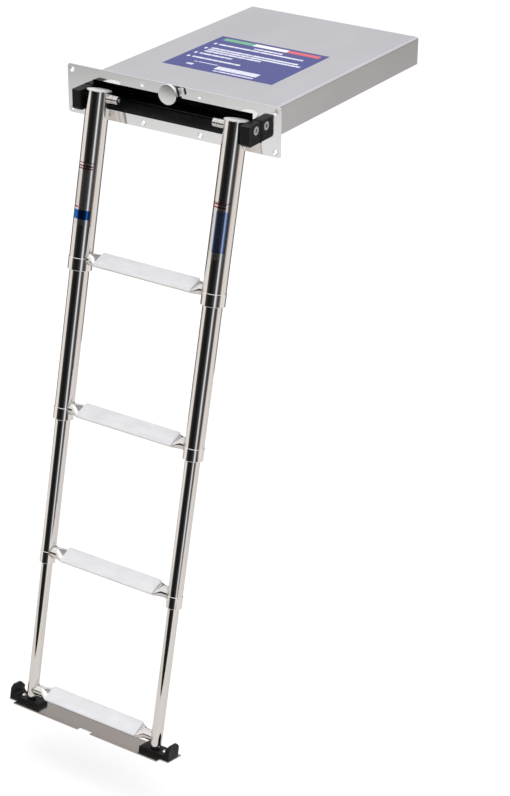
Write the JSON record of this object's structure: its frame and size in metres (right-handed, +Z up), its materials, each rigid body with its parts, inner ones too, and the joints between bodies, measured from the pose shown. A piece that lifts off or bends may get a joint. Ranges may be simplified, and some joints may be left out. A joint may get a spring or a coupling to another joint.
{
  "type": "boat boarding ladder",
  "caption": "Telescopic boat boarding ladder with stepped treads that hinges out of and folds into a slim flush-mounted stainless box behind a bolted flange.",
  "frame": {"origin": "centre of the mounting flange on its rear face, which seats on the transom", "axes": "+X to the right seen from outside the boat, +Y inboard along the box, +Z up"},
  "size_m": [0.4, 0.7663, 1.0678],
  "materials": {
    "polished_stainless": "mirror polished stainless steel",
    "satin_stainless": "satin stainless steel sheet",
    "tube_stainless": "polished stainless steel tube",
    "collar_stainless": "polished stainless steel ring",
    "crossbar_stainless": "polished stainless steel tube, pressed flat",
    "cap_stainless": "bright polished stainless steel cap",
    "knob_stainless": "satin turned stainless steel",
    "hardware_stainless": "machined stainless steel",
    "folded_stainless": "mill-finish stainless steel sheet",
    "black_nylon": "black moulded nylon, fine satin texture",
    "guide_nylon": "black nylon bearing rings",
    "label_film": "printed vinyl film",
    "tread_plastic": "white moulded plastic, slightly glossy"
  },
  "bodies": {
    "box": {"flange_plate": "polished_stainless", "box_shell": "satin_stainless", "box_base": "satin_stainless", "guide_rail_left": "folded_stainless", "guide_rail_right": "folded_stainless", "slide_block_left": "black_nylon", "slide_block_right": "black_nylon", "tie_plate": "folded_stainless", "tie_screws": "hardware_stainless", "pivot_bolt_left": "hardware_stainless", "pivot_bolt_right": "hardware_stainless", "pivot_nuts": "hardware_stainless", "pivot_washers": "guide_nylon", "latch_bush": "guide_nylon"},
    "latch": {"latch_knob": "knob_stainless", "latch_spindle": "hardware_stainless", "latch_tongue": "polished_stainless", "latch_washer": "hardware_stainless"},
    "section_1": {"outer_tube_left": "tube_stainless", "outer_tube_right": "tube_stainless", "tube_cap_left": "cap_stainless", "tube_cap_right": "cap_stainless", "pivot_sleeves": "hardware_stainless", "collar_1_left": "collar_stainless", "collar_1_right": "collar_stainless", "bushes_1": "guide_nylon", "crossbar_1": "crossbar_stainless", "tread_1": "tread_plastic", "tread_1_screws": "hardware_stainless"},
    "section_2": {"tube_2_left": "tube_stainless", "tube_2_right": "tube_stainless", "glides_2": "guide_nylon", "collar_2_left": "collar_stainless", "collar_2_right": "collar_stainless", "bushes_2": "guide_nylon", "crossbar_2": "crossbar_stainless", "tread_2": "tread_plastic", "tread_2_screws": "hardware_stainless"},
    "section_3": {"tube_3_left": "tube_stainless", "tube_3_right": "tube_stainless", "glides_3": "guide_nylon", "collar_3_left": "collar_stainless", "collar_3_right": "collar_stainless", "bushes_3": "guide_nylon", "crossbar_3": "crossbar_stainless", "tread_3": "tread_plastic", "tread_3_screws": "hardware_stainless"},
    "section_4": {"tube_4_left": "tube_stainless", "tube_4_right": "tube_stainless", "glides_4": "guide_nylon", "crossbar_4": "crossbar_stainless", "tread_4": "tread_plastic", "tread_4_screws": "hardware_stainless", "door_plate": "polished_stainless", "foot_bracket_left": "black_nylon", "foot_bracket_right": "black_nylon", "foot_screws": "hardware_stainless"}
  },
  "joints": [
    {"name": "ladder_swing", "type": "hinge", "parent": "box", "child": "section_1", "pos_m": [0, -0.0165, 0.0015], "axis": [-1, 0, 0], "range_deg": [0, 77]},
    {"name": "section_2_slide", "type": "slide", "parent": "section_1", "child": "section_2", "axis": [0, 0.225, 0.9744], "range_m": [0, 0.22]},
    {"name": "section_3_slide", "type": "slide", "parent": "section_2", "child": "section_3", "axis": [0, 0.225, 0.9744], "range_m": [0, 0.22]},
    {"name": "section_4_slide", "type": "slide", "parent": "section_3", "child": "section_4", "axis": [0, 0.225, 0.9744], "range_m": [0, 0.22]},
    {"name": "latch_turn", "type": "hinge", "parent": "box", "child": "latch", "pos_m": [0, -0.01, 0.0272], "axis": [0, 1, 0], "range_deg": [0, 105]}
  ]
}
